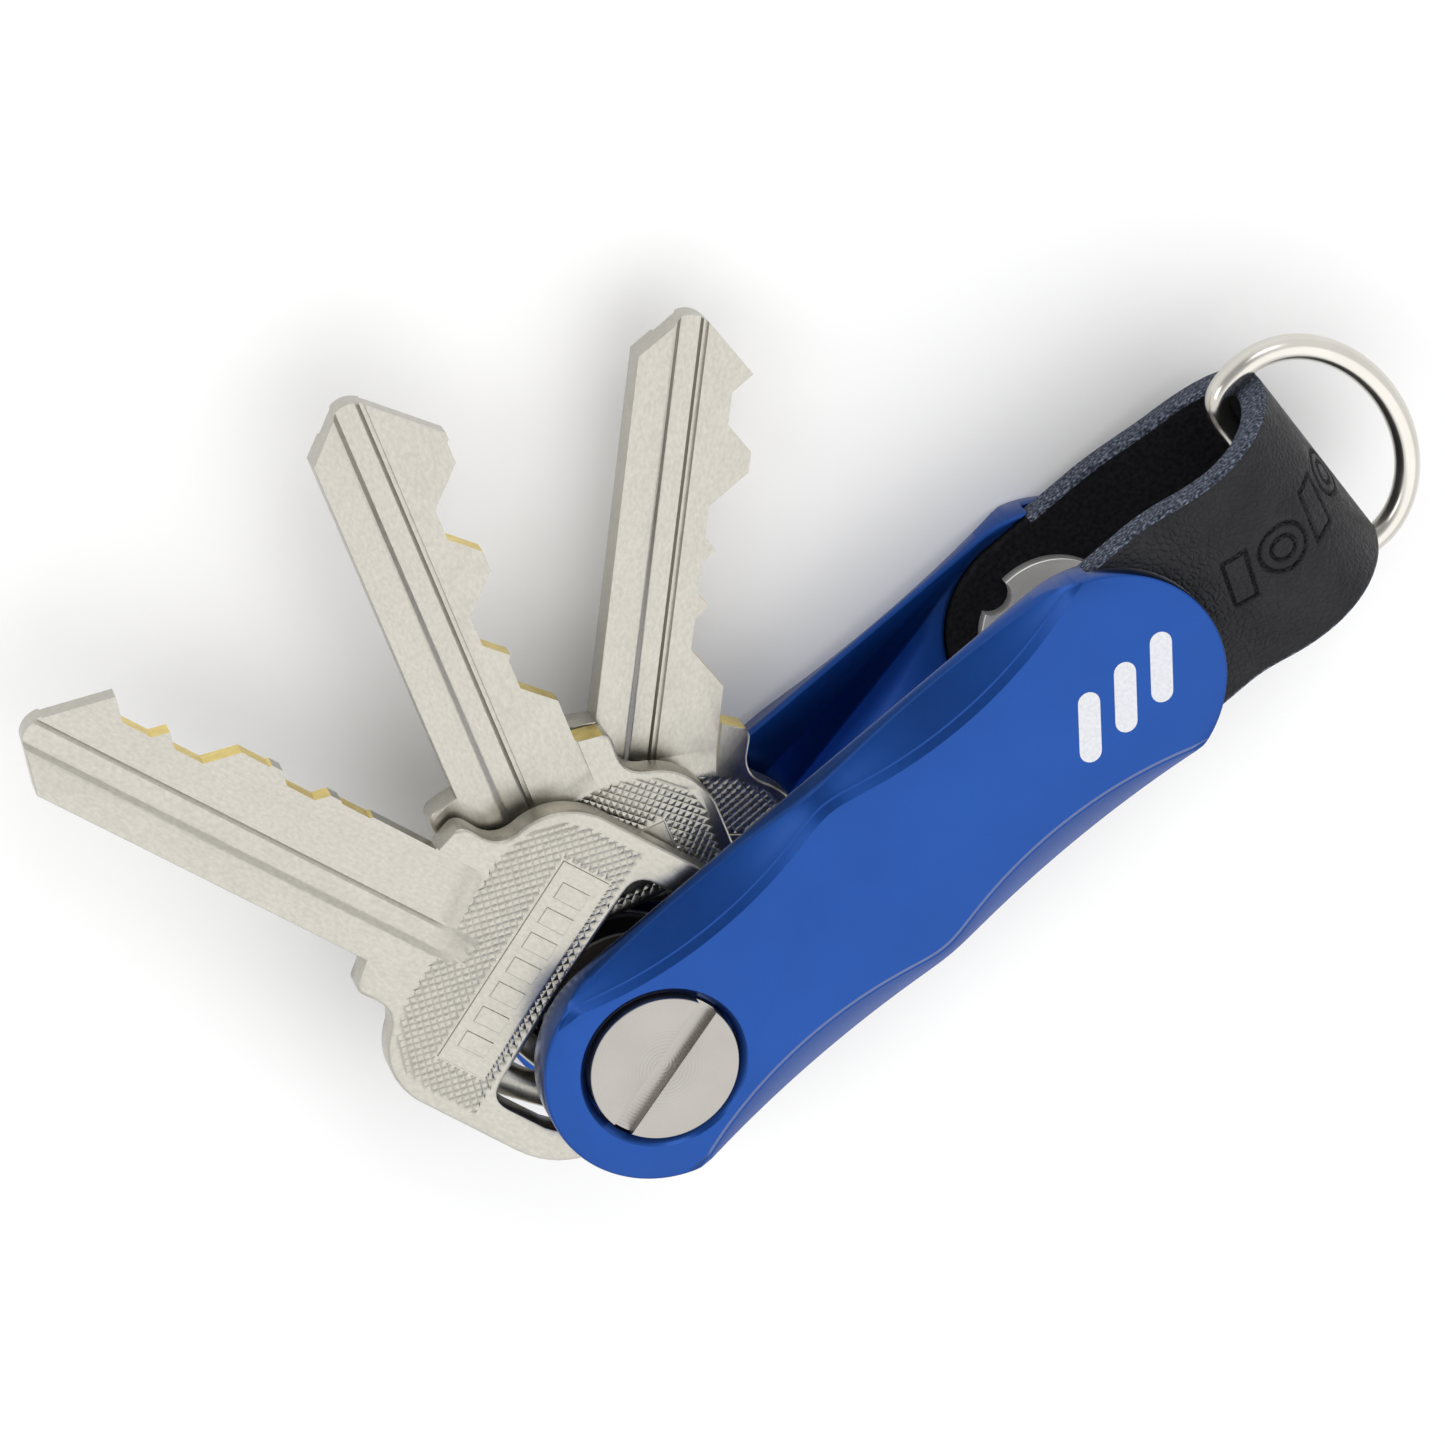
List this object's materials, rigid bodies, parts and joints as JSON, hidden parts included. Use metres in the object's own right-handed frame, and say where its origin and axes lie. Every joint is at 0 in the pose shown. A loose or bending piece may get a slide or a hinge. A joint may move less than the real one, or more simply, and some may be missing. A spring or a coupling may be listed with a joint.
{
  "type": "key organiser",
  "caption": "Pocket key organiser: flat keys fold out from between two scooped aluminium scales, with a leather loop and a D-ring at the far end.",
  "frame": {"origin": "middle of the bottom scale's outer face, half way between the key post and the rear post", "axes": "+X from the key post towards the strap, +Y to the side where the keys fan out, +Z from the bottom scale to the top scale"},
  "size_m": [0.082, 0.0554, 0.0157],
  "materials": {
    "blue_anodised": "blue anodised, satin",
    "stainless": "turned, fine rings",
    "spring_steel": "plain spring steel",
    "key_nickel": "nickel plated brass, bare brass on the cuts",
    "bright_nickel": "polished nickel plate",
    "nylon": "plain moulded",
    "black_leather": "smooth outside, flesh inside, raw cut edges"
  },
  "bodies": {
    "frame": {"top_scale": "blue_anodised", "bottom_scale": "blue_anodised", "key_post": "stainless", "key_screw": "stainless", "lock_washer": "nylon", "top_nylon_washer": "nylon", "spacer_washer_1": "stainless", "spacer_washer_2": "stainless", "bottom_nylon_washer": "nylon", "wave_washer": "spring_steel", "rear_post": "stainless", "rear_screw": "stainless", "bottom_notched_nut": "stainless", "top_notched_nut": "stainless", "strap": "black_leather"},
    "first_key": {"key_1": "key_nickel"},
    "second_key": {"key_2": "key_nickel"},
    "third_key": {"key_3": "key_nickel"},
    "ring": {"d_ring": "bright_nickel"}
  },
  "joints": [
    {"name": "key_1_fold", "type": "hinge", "parent": "frame", "child": "first_key", "pos_m": [-0.01875, 0, 0.01098], "axis": [0, 0, 1], "range_deg": [-93, 237]},
    {"name": "key_2_fold", "type": "hinge", "parent": "frame", "child": "second_key", "pos_m": [-0.01875, 0, 0.00841], "axis": [0, 0, 1], "range_deg": [-65, 274]},
    {"name": "key_3_fold", "type": "hinge", "parent": "frame", "child": "third_key", "pos_m": [-0.01875, 0, 0.00584], "axis": [0, 0, 1], "range_deg": [-35, 302]},
    {"name": "ring_swing", "type": "hinge", "parent": "frame", "child": "ring", "pos_m": [0.03575, 0, 0.0082], "axis": [0, 1, 0], "range_deg": [-55, 65]}
  ]
}
